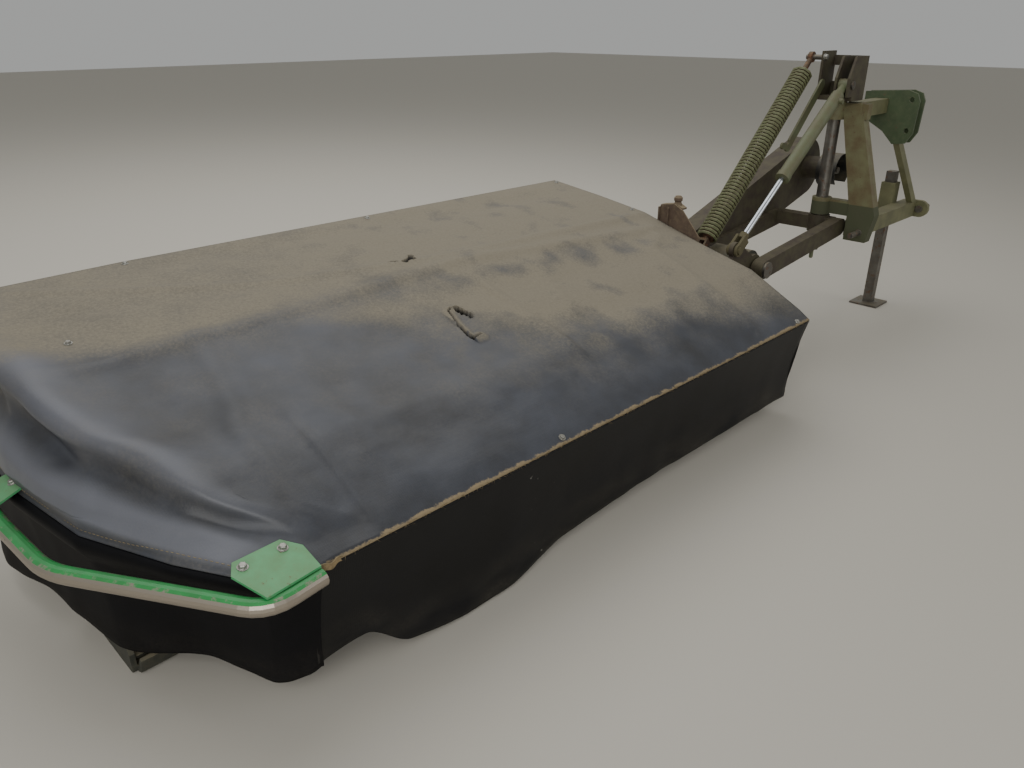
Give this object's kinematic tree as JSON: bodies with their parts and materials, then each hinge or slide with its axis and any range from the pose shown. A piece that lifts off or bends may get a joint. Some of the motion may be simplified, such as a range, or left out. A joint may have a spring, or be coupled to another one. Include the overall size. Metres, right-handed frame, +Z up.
{
  "type": "rear-mounted disc mower",
  "caption": "Three-point mounted disc mower with a fabric cover and curtains, a folding cutterbar, lift cylinder, float spring and safety swing, lowered on its stand.",
  "frame": {"origin": "centre of the upper top link hole, on the tractor's centre line above the lower hitch pins", "axes": "+X to the outer end of the cutterbar (the tractor's right), +Y forwards in the direction of travel, +Z up"},
  "size_m": [4.7175, 1.4711, 1.4],
  "materials": {
    "olive_paint": "faded and dusty",
    "green_paint": "gloss, worn at the edges",
    "worn_steel": "worn and dull",
    "cast_housing": "oily and dusty",
    "chromed_rod": "polished",
    "spring_steel": "painted, rust between turns",
    "rusty_plate": "rusted",
    "shield_plastic": "matte",
    "cover_fabric": "rubber-coated, dusty"
  },
  "bodies": {
    "hitch_frame": {"cross_beam": "olive_paint", "right_pillar": "olive_paint", "top_beam": "olive_paint", "left_leg": "olive_paint", "top_link_bracket": "green_paint", "hitch_pins": "worn_steel"},
    "parking_stand": {"parking_stand": "worn_steel"},
    "swing_frame": {"kingpin": "worn_steel", "mast_head": "olive_paint", "mast_pins": "worn_steel", "transport_lock": "olive_paint", "carrier_head": "olive_paint", "carrier_arm": "olive_paint", "carrier_rear_arm": "olive_paint", "hinge_pin": "worn_steel", "belt_guard": "olive_paint", "belt_guard_lid": "olive_paint", "pto_shield": "shield_plastic"},
    "pto_input": {"pto_shaft": "worn_steel"},
    "lift_barrel": {"lift_barrel": "olive_paint"},
    "lift_rod": {"lift_rod": "chromed_rod"},
    "float_spring": {"float_spring": "spring_steel", "spring_ends": "spring_steel"},
    "cutter_unit": {"hinge_yoke": "olive_paint", "yoke_pins": "worn_steel", "gearbox": "cast_housing", "inner_end_plate": "olive_paint", "inner_shoe": "worn_steel", "cutterbar": "worn_steel", "skid_shoes": "worn_steel", "outer_shoe": "olive_paint", "support_beam": "olive_paint", "cover_frame": "olive_paint", "cover": "cover_fabric", "front_curtain": "cover_fabric", "inner_curtain": "cover_fabric", "outer_curtain": "cover_fabric", "bumper_tube": "green_paint", "bumper_brackets": "green_paint", "swath_board": "olive_paint", "yoke_stop": "rusty_plate"},
    "disc_1": {"disc_1": "worn_steel"},
    "disc_2": {"disc_2": "worn_steel"},
    "disc_3": {"disc_3": "worn_steel"},
    "disc_4": {"disc_4": "worn_steel"},
    "disc_5": {"disc_5": "worn_steel"},
    "disc_6": {"disc_6": "worn_steel"}
  },
  "joints": [
    {"name": "stand_lift", "type": "slide", "parent": "hitch_frame", "child": "parking_stand", "axis": [0, 0, 1], "range_m": [0, 0.25]},
    {"name": "safety_swing", "type": "hinge", "parent": "hitch_frame", "child": "swing_frame", "pos_m": [0.4, -0.22, -0.57], "axis": [0, 0, -1], "range_deg": [0, 25]},
    {"name": "bar_fold", "type": "hinge", "parent": "swing_frame", "child": "cutter_unit", "pos_m": [1.15, -0.266, -0.67], "axis": [0, -1, 0], "range_deg": [-15, 90]},
    {"name": "barrel_swing", "type": "hinge", "parent": "swing_frame", "child": "lift_barrel", "pos_m": [0.477, -0.162, 0.084], "axis": [0, -1, 0], "range_deg": [-9.33, 1.97]},
    {"name": "rod_slide", "type": "slide", "parent": "lift_barrel", "child": "lift_rod", "axis": [0.7963, 0, -0.605], "range_m": [-0.25486, 0.04414]},
    {"name": "spring_swing", "type": "hinge", "parent": "swing_frame", "child": "float_spring", "pos_m": [0.43, -0.37, 0.2], "axis": [0, -1, 0], "range_deg": [-5.58, 1.35], "deforming": ["float_spring", "spring_ends"]},
    {"name": "input_spin", "type": "hinge", "parent": "swing_frame", "child": "pto_input", "pos_m": [0.12, -0.3, -0.37], "axis": [0, 1, 0], "continuous": true},
    {"name": "disc_spin_1", "type": "hinge", "parent": "cutter_unit", "child": "disc_1", "pos_m": [1.77, -0.34, -1.07], "axis": [0, 0, 1], "continuous": true},
    {"name": "disc_spin_2", "type": "hinge", "parent": "cutter_unit", "child": "disc_2", "pos_m": [2.17, -0.34, -1.07], "axis": [0, 0, 1], "continuous": true},
    {"name": "disc_spin_3", "type": "hinge", "parent": "cutter_unit", "child": "disc_3", "pos_m": [2.57, -0.34, -1.07], "axis": [0, 0, 1], "continuous": true},
    {"name": "disc_spin_4", "type": "hinge", "parent": "cutter_unit", "child": "disc_4", "pos_m": [2.97, -0.34, -1.07], "axis": [0, 0, 1], "continuous": true},
    {"name": "disc_spin_5", "type": "hinge", "parent": "cutter_unit", "child": "disc_5", "pos_m": [3.37, -0.34, -1.07], "axis": [0, 0, 1], "continuous": true},
    {"name": "disc_spin_6", "type": "hinge", "parent": "cutter_unit", "child": "disc_6", "pos_m": [3.77, -0.34, -1.07], "axis": [0, 0, 1], "continuous": true}
  ],
  "couplings": [
    {"joint": "barrel_swing", "follows": "bar_fold", "ratio": -0.09807},
    {"joint": "rod_slide", "follows": "bar_fold", "m_per_rad": -0.16098},
    {"joint": "spring_swing", "follows": "bar_fold", "ratio": -0.056392},
    {"joint": "input_spin", "follows": "disc_spin_1", "ratio": 0.18},
    {"joint": "disc_spin_2", "follows": "disc_spin_1", "ratio": -1},
    {"joint": "disc_spin_3", "follows": "disc_spin_1", "ratio": 1},
    {"joint": "disc_spin_4", "follows": "disc_spin_1", "ratio": -1},
    {"joint": "disc_spin_5", "follows": "disc_spin_1", "ratio": 1},
    {"joint": "disc_spin_6", "follows": "disc_spin_1", "ratio": -1}
  ]
}
